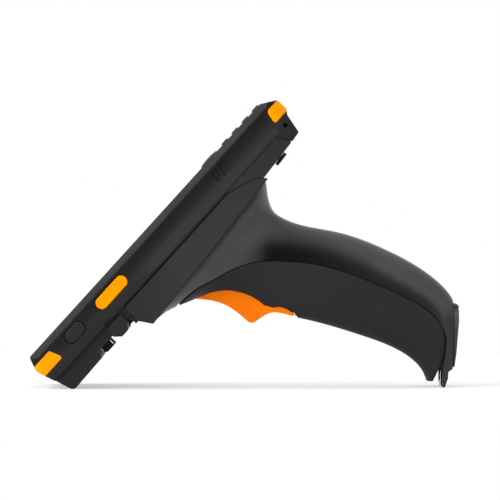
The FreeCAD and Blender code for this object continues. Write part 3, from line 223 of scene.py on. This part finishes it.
def moulded(
    name, colour, roughness, grain=PLASTIC_GRAIN, relief=0.25, edge=PLASTIC_EDGE, wear=0.35, specular=0.3
):
    """Moulded plastic: spark-eroded grain, faint mottling and slightly polished edges."""
    material, tree, shader = new_material(name)
    rounded = soft_edges(tree, edge)
    mottle = varied(tree, 0.90, 1.10, scale=45.0, detail=4.0)
    factor = operation(tree, "MULTIPLY", mottle, edge_wear(tree, rounded, wear))
    smoothest = roughness - ROUGHNESS_SPREAD
    roughest = roughness + ROUGHNESS_SPREAD
    feed(tree, shader, {
        "Base Color": tinted(tree, colour, factor),
        "Roughness": varied(tree, smoothest, roughest, scale=90.0, detail=3.0),
        "Specular IOR Level": specular,
        "Normal": bumped(tree, noise(tree, grain), relief, GRAIN_DEPTH, rounded),
    })
    return material


def glossy_glass(name, colour, coat=1.0, specular=0.5):
    """Dark glass over a printed backing, with faint wipe marks."""
    material, tree, shader = new_material(name)
    feed(tree, shader, {
        "Base Color": tinted(tree, colour, varied(tree, 0.92, 1.08, scale=30.0, detail=3.0)),
        "Roughness": varied(tree, 0.03, 0.09, scale=60.0, detail=5.0, roughness=0.65),
        "Specular IOR Level": specular,
        "Coat Weight": coat,
        "Coat Roughness": 0.02,
        "Normal": soft_edges(tree, GLASS_EDGE),
    })
    return material


def metal(name, colour, roughness, grain):
    """Metal with fine drawing marks."""
    material, tree, shader = new_material(name)
    rounded = soft_edges(tree, METAL_EDGE)
    feed(tree, shader, {
        "Base Color": tinted(tree, colour, varied(tree, 0.93, 1.05, scale=150.0, detail=3.0)),
        "Metallic": 1.0,
        "Roughness": varied(tree, roughness * 0.8, roughness * 1.2, scale=700.0),
        "Normal": bumped(tree, noise(tree, grain, detail=1.0), 0.1, DRAWN_DEPTH, rounded),
    })
    return material


def circuit():
    """Green solder mask with traces."""
    material, tree, shader = new_material("circuit")
    layout = {"Vector": object_place(tree), "Scale": 180.0, "Mortar Size": 0.03}
    layout.update(BOARD_GREENS)
    feed(tree, shader, {
        "Base Color": add_node(tree, "TexBrick", layout).outputs["Color"],
        "Roughness": varied(tree, 0.30, 0.42, scale=120.0),
    })
    return material


def painted_seam_shade(tree):
    """Painted shade: one on plain stretches, less just above the seam, where the real back shell rolls
    inwards.
    """
    xs, zs, strengths, reaches = zip(*SEAM)
    shares = [(x - xs[0]) / (xs[-1] - xs[0]) for x in xs]
    cosines = []
    for index in range(len(SEAM)):
        before = max(index - 1, 0)
        after = min(index + 1, len(SEAM) - 1)
        cosines.append(math.cos(math.atan2(zs[after] - zs[before], xs[after] - xs[before])))
    place = add_node(tree, "SeparateXYZ", {0: object_place(tree)}).outputs
    run = mapped(tree, place["X"], xs[0] / 1000 + SHIFT.x, xs[-1] / 1000 + SHIFT.x)
    height = mapped(tree, place["Z"], SHIFT.z, HEIGHT_LIMIT / 1000 + SHIFT.z)

    def along_seam(values):
        return smooth_curve(tree, run, list(zip(shares, values)))

    level = along_seam([z / HEIGHT_LIMIT for z in zs])
    above = operation(tree, "MULTIPLY", operation(tree, "SUBTRACT", height, level), along_seam(cosines))
    above = operation(tree, "MULTIPLY", above, HEIGHT_LIMIT / REACH_LIMIT)
    reach = along_seam([length / REACH_LIMIT for length in reaches])
    inside = mapped(tree, operation(tree, "DIVIDE", above, reach), 0.0, 1.0)
    shade = operation(tree, "MULTIPLY", smooth_curve(tree, inside, SEAM_PROFILE), along_seam(strengths))
    return operation(tree, "SUBTRACT", 1.0, operation(tree, "MULTIPLY", shade, SEAM_PAINTED_SHADE_DEPTH))


def painted_crease_shade(tree):
    """Painted shade: one on plain stretches, less where the neck meets the cradle."""
    start, end = [ALONG * along / 1000 + NORMAL * depth / 1000 for along, depth in CREASE]
    run = (end - start).normalized()
    outward = Vector((run.z, 0.0, -run.x))
    level = outward.dot(start + SHIFT)
    depth = dot_product(tree, object_place(tree), outward)
    return mapped(tree, depth, level, level + CREASE_REACH, CREASE_PAINTED_DARK)


# Painted shade on the back shell: the seam's and the crease's together
def painted_shell_shade(tree):
    return operation(tree, "MULTIPLY", painted_seam_shade(tree), painted_crease_shade(tree))


def painted_band_shade(tree):
    """Painted shade: one on plain stretches, less on the housing's sides just below the front edge."""
    face = NORMAL.dot(SHIFT)
    share = mapped(tree, dot_product(tree, object_place(tree), NORMAL), face - BAND_DEPTH, face)
    return smooth_curve(tree, share, BAND_PROFILE)


def with_painted_shade(material, factor):
    """The material with its colour multiplied by a further factor, a painted shade."""
    tree = material.node_tree
    shader = tree.nodes["Principled BSDF"]
    plain = shader.inputs["Base Color"].links[0].from_socket
    feed(tree, shader, {"Base Color": tinted(tree, plain, factor(tree))})
    return material


front_plastic_painted_shade = moulded("front_plastic_painted_shade", BODY_GREY, 0.46, edge=FRONT_EDGE, specular=BODY_GLOSS)
shell_plastic_painted_shade = moulded(
    "grip_shell_plastic", SHELL_GREY, 0.36, relief=0.18, wear=0.15, specular=SHELL_GLOSS
)
materials = {
    "body": moulded("body_plastic", REAR_GREY, 0.46, specular=BODY_GLOSS),
    # The front housing's colour carries painted shade below its front edge
    "front": with_painted_shade(front_plastic_painted_shade, painted_band_shade),
    # The lid's paler grey is partly painted light
    "lid": moulded("lid_plastic_painted_light", LID_GREY_PAINTED_LIGHT, 0.50, wear=0.20, specular=BODY_GLOSS),
    "grip": moulded("grip_plastic", GRIP_GREY, 0.36, relief=0.18, wear=0.15, specular=BODY_GLOSS),
    # The back shell's colour carries painted shade
    "back_shell": with_painted_shade(shell_plastic_painted_shade, painted_shell_shade),
    "soft": moulded(
        "grip_soft", SOFT_GREY, 0.62, grain=SOFT_GRAIN, relief=0.40, wear=0.20, specular=SOFT_GLOSS
    ),
    "insert": moulded("insert_orange", INSERT_ORANGE, 0.42, relief=0.15, wear=0.05, specular=ORANGE_GLOSS),
    "trigger": moulded(
        "trigger_orange", TRIGGER_ORANGE, 0.34,
        relief=0.12, edge=TRIGGER_EDGE, wear=0.10, specular=ORANGE_GLOSS,
    ),
    "key": moulded("key_grey", KEY_GREY, 0.50, relief=0.20, wear=0.25),
    "power": moulded("power_red", POWER_RED, 0.45, relief=0.20, wear=0.20),
    "legend": moulded("legend_white", LEGEND_WHITE, 0.55, relief=0.10, wear=0.0),
    "mat": moulded("silicone_mat", MAT_GREY, 0.60),
    "black": moulded("black_plastic", BLACK, 0.40),
    "battery": moulded("battery_wrap", BATTERY_GREY, 0.35, relief=0.10),
    "glass": glossy_glass("screen_glass", GLASS_BLACK, coat=0.0, specular=0.35),
    "display": glossy_glass("display_panel", DISPLAY_BLACK, coat=0.0),
    "window": glossy_glass("scan_window", WINDOW_RED),
    "circuit": circuit(),
    "steel": metal("steel", STEEL, 0.28, DRAWN_GRAIN),
    "dark_steel": metal("blackened_steel", BLACKENED_STEEL, 0.45, DRAWN_GRAIN),
    "bright": metal("bright_steel", BRIGHT_STEEL, 0.10, POLISHED_GRAIN),
}

NODE_MATERIALS = {
    "front_housing": "front",
    "battery_cover": "grip",
    "cradle": "grip",
    "grip_back_shell": "back_shell",
    "grip_front_shell": "soft",
    "base_lid": "lid",
    "trigger": "trigger",
    "enter_key": "key",
    "navigation_ring": "key",
    "key_r4_c1": "power",
    "keypad_mat": "mat",
    "screen_glass": "glass",
    "display_module": "display",
    "scan_window": "window",
    "scan_engine": "black",
    "main_board": "circuit",
    "battery_pack": "battery",
    "grip_cell": "battery",
    "contact_block": "black",
    "trigger_switch": "black",
    "trigger_pin": "steel",
    "trigger_spring": "steel",
    "housing_screws": "steel",
    "grip_screws": "steel",
    "lid_pin": "dark_steel",
    "lanyard_bar": "bright",
}


def material_of(node):
    if node in NODE_MATERIALS:
        return NODE_MATERIALS[node]
    if "bumper" in node or node.startswith("scan_button"):
        return "insert"
    if node.startswith("key_r") or node.startswith("soft_key"):
        return "key"
    return "body"


for name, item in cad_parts.items():
    item.data.materials.clear()
    item.data.materials.append(materials[material_of(name)])


# Pieces of the scene's own
def prisms(name, outlines, place):
    """Straight prisms from outlines; place puts an outline's point at one of the two ends, 0 or 1."""
    points = []
    faces = []
    for outline in outlines:
        base = len(points)
        count = len(outline)
        points += [place(point, end) for end in (0, 1) for point in outline]
        faces.append([base + index for index in reversed(range(count))])
        faces.append([base + count + index for index in range(count)])
        for index in range(count):
            after = (index + 1) % count
            faces.append([base + index, base + after, base + count + after, base + count + index])
    mesh = bpy.data.meshes.new(name)
    mesh.from_pydata(points, [], faces)
    return mesh


def add_piece(name, mesh, material, body):
    mesh.materials.append(materials[material])
    piece = new_object(name, mesh)
    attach(piece, body)


# Legends on the keys, with lengths in metres
LETTER_SIZE = 0.004185
LEGEND_THICKNESS = 0.00003
LINE_WIDTH = 0.0004
ARROW_REACH = 0.0012
BAR_REACH = 0.0011
SOFT_KEY_REACH = 0.0016
POWER_RADIUS = 0.0012
POWER_LINE = 0.00035
POWER_GAP = (math.radians(125), math.radians(415))
ARC_STEPS = 18
TRIANGLE_REACH = 0.0009
RING_LONG_REACH = 0.0085
RING_SHORT_REACH = 0.0048


def key_top(node):
    """Middle of a key's outer face, in the row frame."""
    points = [vertex.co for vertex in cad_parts[node].data.vertices]
    spans = []
    for axis in (ALONG, ACROSS, NORMAL):
        values = [point.dot(axis) for point in points]
        spans.append((min(values), max(values)))
    return ALONG * sum(spans[0]) / 2 + ACROSS * sum(spans[1]) / 2 + NORMAL * spans[2][1]


def add_legend(name, mesh, key):
    """Flat sign on a key: it reads from the keypad end and faces outward."""
    axes = Matrix((ACROSS, -ALONG, NORMAL)).transposed().to_4x4()
    mesh.transform(Matrix.Translation(key_top(key) + NORMAL * LEGEND_THICKNESS / 2) @ axes)
    add_piece(name, mesh, "legend", key)


def lettering(name, text):
    curve = bpy.data.curves.new(name, "FONT")
    curve.body = text
    curve.size = LETTER_SIZE
    curve.align_x = "CENTER"
    curve.align_y = "CENTER"
    curve.extrude = LEGEND_THICKNESS
    curve.resolution_u = 3
    holder = new_object(name, curve)
    bpy.context.view_layer.update()
    mesh = bpy.data.meshes.new_from_object(holder)
    bpy.data.objects.remove(holder)
    return mesh


def plates(outlines):
    """Thin plates from closed outlines."""
    levels = (-LEGEND_THICKNESS, LEGEND_THICKNESS)
    return prisms("legend", outlines, lambda point, end: (point[0], point[1], levels[end]))


def stroke(start, end, width=LINE_WIDTH):
    """Straight bar between two points."""
    start = Vector(start)
    end = Vector(end)
    run = (end - start).normalized()
    side = Vector((-run.y, run.x)) * (width / 2)
    return [tuple(start - side), tuple(end - side), tuple(end + side), tuple(start + side)]


def arc(radius, width, first, last):
    """Part of a ring, as four-sided pieces."""
    inner = radius - width / 2
    outer = radius + width / 2
    pieces = []
    for index in range(ARC_STEPS):
        a = first + (last - first) * index / ARC_STEPS
        b = first + (last - first) * (index + 1) / ARC_STEPS
        corners = ((inner, a), (outer, a), (outer, b), (inner, b))
        pieces.append([(reach * math.cos(angle), reach * math.sin(angle)) for reach, angle in corners])
    return pieces


def arrow(dx, dy):
    """Arrow pointing in one direction, as a shaft and a head."""
    tip = Vector((dx, dy)) * ARROW_REACH
    side = Vector((-dy, dx)) * ARROW_REACH * 0.62
    neck = tip * 0.15
    return [stroke(-tip, neck), [tuple(tip), tuple(neck + side), tuple(neck - side)]]


def triangle(cx, cy, dx, dy):
    centre = Vector((cx, cy))
    ahead = Vector((dx, dy)) * TRIANGLE_REACH
    side = Vector((-dy, dx)) * TRIANGLE_REACH
    return [tuple(centre + ahead), tuple(centre - ahead * 0.6 + side), tuple(centre - ahead * 0.6 - side)]


level_bar = stroke((-BAR_REACH, 0), (BAR_REACH, 0))
upright_bar = stroke((0, -BAR_REACH), (0, BAR_REACH))
power_sign = arc(POWER_RADIUS, POWER_LINE, *POWER_GAP) + [stroke((0.0, 0.0004), (0.0, 0.0017), POWER_LINE)]
enter_sign = arrow(-1, 0) + [stroke((ARROW_REACH, 0.0), (ARROW_REACH, 0.0010))]
ring_signs = [
    triangle(0, RING_SHORT_REACH, 0, 1), triangle(0, -RING_SHORT_REACH, 0, -1),
    triangle(RING_LONG_REACH, 0, 1, 0), triangle(-RING_LONG_REACH, 0, -1, 0),
]
soft_key_sign = [stroke((-SOFT_KEY_REACH, 0), (SOFT_KEY_REACH, 0))]

# Signs of the keys, row by row from the navigation ring to the keypad end
KEY_SIGNS = [
    [arrow(1, 0), "1", "2", "3", arrow(-1, 0)],
    [arrow(0, 1), "4", "5", "6", [level_bar, upright_bar]],
    [arrow(0, -1), "7", "8", "9", [level_bar]],
    [power_sign, "*", "0", ".", enter_sign],
]
for row, signs in enumerate(KEY_SIGNS, 1):
    for column, sign in enumerate(signs, 1):
        place = "r%d_c%d" % (row, column)
        mesh = lettering("legend_" + place, sign) if isinstance(sign, str) else plates(sign)
        add_legend("legend_" + place, mesh, "key_" + place)
add_legend("legend_ring", plates(ring_signs), "navigation_ring")
add_legend("legend_soft_left", plates(soft_key_sign), "soft_key_left")
add_legend("legend_soft_right", plates(soft_key_sign), "soft_key_right")

# Hidden lips that close narrow gaps, as outlines in the side view, in mm
TRIGGER_FILL = [
    (-7.8, 54.0), (-4.8, 52.9), (-3.0, 52.2), (-2.6, 53.6),
    (-3.6, 53.95), (-4.8, 54.2), (-6.4, 54.45),
]
STRAP_LIP = [
    (109.0, 9.2), (111.2, 9.2), (112.0, 14.5), (112.8, 20.0), (113.4, 27.0),
    (112.0, 27.0), (111.2, 19.0), (109.7, 14.0),
]
POCKET_LIP = [(28.0, 41.9), (28.0, 40.6), (30.0, 39.1), (30.0, 41.9)]
COVER_LIPS = [("start", -14.1, 105.5), ("end", 16.9, 139.6)]
COVER_LIP_REACH = 0.8
COVER_LIP_PLACE = (33.6, 34.6)


def add_lip(name, outline, low, high, material="black", body="body"):
    """Prism across the object from y low to y high, in mm."""
    sides = (high, low)
    mesh = prisms(name, [outline], lambda point, end: (point[0] / 1000, sides[end] / 1000, point[1] / 1000))
    add_piece(name, mesh, material, body)


add_lip("trigger_fill", TRIGGER_FILL, -9.0, 9.0, "trigger", "trigger")
for side, sign in (("left", -1), ("right", 1)):
    low, high = sorted(sign * y for y in COVER_LIP_PLACE)
    for place, x, z in COVER_LIPS:
        reach = COVER_LIP_REACH
        diamond = [(x - reach, z), (x, z - reach), (x + reach, z), (x, z + reach)]
        add_lip("cover_lip_%s_%s" % (place, side), diamond, low, high)
add_lip("pocket_lip", POCKET_LIP, -10.0, 10.0, "soft")
add_lip("strap_lip", STRAP_LIP, -11.0, 11.0)

# Floor and world, with lengths in metres
FLOOR_REACH = 12.0
FLOOR_WHITE = (0.92, 0.92, 0.92, 1.0)
FLOOR_GLOW = 0.50
FADE_START = 0.16
FADE_END = 0.60
WHITE = (1.0, 1.0, 1.0, 1.0)
WORLD_FRONT = 0.12
WORLD_LIGHT = 0.85
WORLD_TURN = (-0.9, -0.2)


def shown_white(tree):
    """One for the rays that show a background."""
    rays = add_node(tree, "LightPath").outputs
    seen = operation(tree, "MAXIMUM", rays["Is Camera Ray"], rays["Is Glossy Ray"])
    return operation(tree, "MAXIMUM", seen, rays["Is Transmission Ray"])


def far_from_object(tree):
    """The floor's glow under the object, one far from it."""
    distance = add_node(tree, "VectorMath", {0: object_place(tree)}, operation="LENGTH").outputs["Value"]
    return mapped(tree, distance, FADE_START, FADE_END, FLOOR_GLOW, 1.0, "SMOOTHSTEP")


def add_floor():
    """White floor; it glows where it is seen, less so near the object, where its shadow falls."""
    r = FLOOR_REACH
    mesh = bpy.data.meshes.new("floor")
    mesh.from_pydata([(-r, -r, 0), (r, -r, 0), (r, r, 0), (-r, r, 0)], [], [(0, 1, 2, 3)])
    material, tree, shader = new_material("floor_white")
    feed(tree, shader, {"Base Color": FLOOR_WHITE, "Roughness": 0.9, "Specular IOR Level": 0.0})
    glow = add_node(tree, "Emission").outputs["Emission"]
    share = operation(tree, "MULTIPLY", shown_white(tree), far_from_object(tree))
    mix = add_node(tree, "MixShader", {0: share, 1: shader.outputs["BSDF"], 2: glow})
    feed(tree, tree.nodes["Material Output"], {"Surface": mix.outputs["Shader"]})
    mesh.materials.append(material)
    new_object("floor", mesh)


def add_world():
    """Pale studio; its light is dimmer on the side that the photograph was taken from."""
    world = bpy.data.worlds.new("studio")
    bpy.context.scene.world = world
    world.use_nodes = True
    tree = world.node_tree
    direction = add_node(tree, "SeparateXYZ", {0: add_node(tree, "TexCoord").outputs["Generated"]})
    level = mapped(tree, direction.outputs["Y"], *WORLD_TURN, WORLD_FRONT, WORLD_LIGHT, "SMOOTHSTEP")
    strength = operation(tree, "MAXIMUM", level, shown_white(tree))
    feed(tree, tree.nodes["Background"], {"Color": WHITE, "Strength": strength})


add_floor()
add_world()

# Soft lamps, as (name, direction, distance, side, radiance)
SOFT_LAMPS = [
    ("key", (-0.66, -0.43, 0.62), 1.6, 0.8, 3.4),
    ("face", (-0.74, -0.12, 0.67), 1.6, 0.8, 5.5),
    ("overhead", (0.35, 0.35, 1.0), 1.6, 1.0, 2.2),
    ("fill", (-0.70, -0.75, 0.25), 1.8, 1.2, 2.6),
]
LIT_PLACE = Vector((0.0, 0.0, 0.08))

# Narrow lamp on the trigger and the grip's neck
ACCENT_TARGET = Vector((0.010, 0.0, 0.062))
ACCENT_OFFSET = Vector((-0.25, -1.45, 0.10))
ACCENT_POWER = 30.0
ACCENT_CONE = math.radians(3.6)
ACCENT_SIZE = 0.05


def aim_from(item, target, offset):
    """Puts a lamp or camera at an offset from a target, looking at it."""
    item.location = target + offset
    item.rotation_euler = (-offset).to_track_quat("-Z", "Y").to_euler()


for name, direction, distance, side, radiance in SOFT_LAMPS:
    lamp = bpy.data.lights.new(name, "AREA")
    lamp.shape = "SQUARE"
    lamp.size = side
    lamp.energy = radiance * math.pi * side * side
    aim_from(new_object(name, lamp), LIT_PLACE, Vector(direction).normalized() * distance)

accent = bpy.data.lights.new("accent", "SPOT")
accent.energy = ACCENT_POWER
accent.spot_size = ACCENT_CONE
accent.spot_blend = 1.0
accent.shadow_soft_size = ACCENT_SIZE
aim_from(new_object("accent", accent), ACCENT_TARGET, ACCENT_OFFSET)

# Camera: the photograph's scale in metres per pixel, and the pixel that shows the row frame's origin
PHOTO_SIZE = 500
PIXEL = 0.565e-3
ORIGIN_COLUMN = 245.4
FLOOR_ROW = 386.4
CAMERA_DISTANCE = 3.0
CAMERA_RISE = math.radians(1.0)
SENSOR_WIDTH = 36.0

camera_data = bpy.data.cameras.new("camera")
camera_data.sensor_width = SENSOR_WIDTH
camera_data.lens = SENSOR_WIDTH * CAMERA_DISTANCE / (PHOTO_SIZE * PIXEL)
camera_data.clip_end = 100.0
camera = new_object("camera", camera_data)
middle = PHOTO_SIZE / 2
aim = Vector(((middle - ORIGIN_COLUMN) * PIXEL, 0.0, (FLOOR_ROW - middle) * PIXEL))
rise = Vector((0.0, -math.cos(CAMERA_RISE), math.sin(CAMERA_RISE)))
aim_from(camera, aim, rise * CAMERA_DISTANCE)
bpy.context.scene.camera = camera
bpy.context.scene.view_settings.view_transform = "Standard"
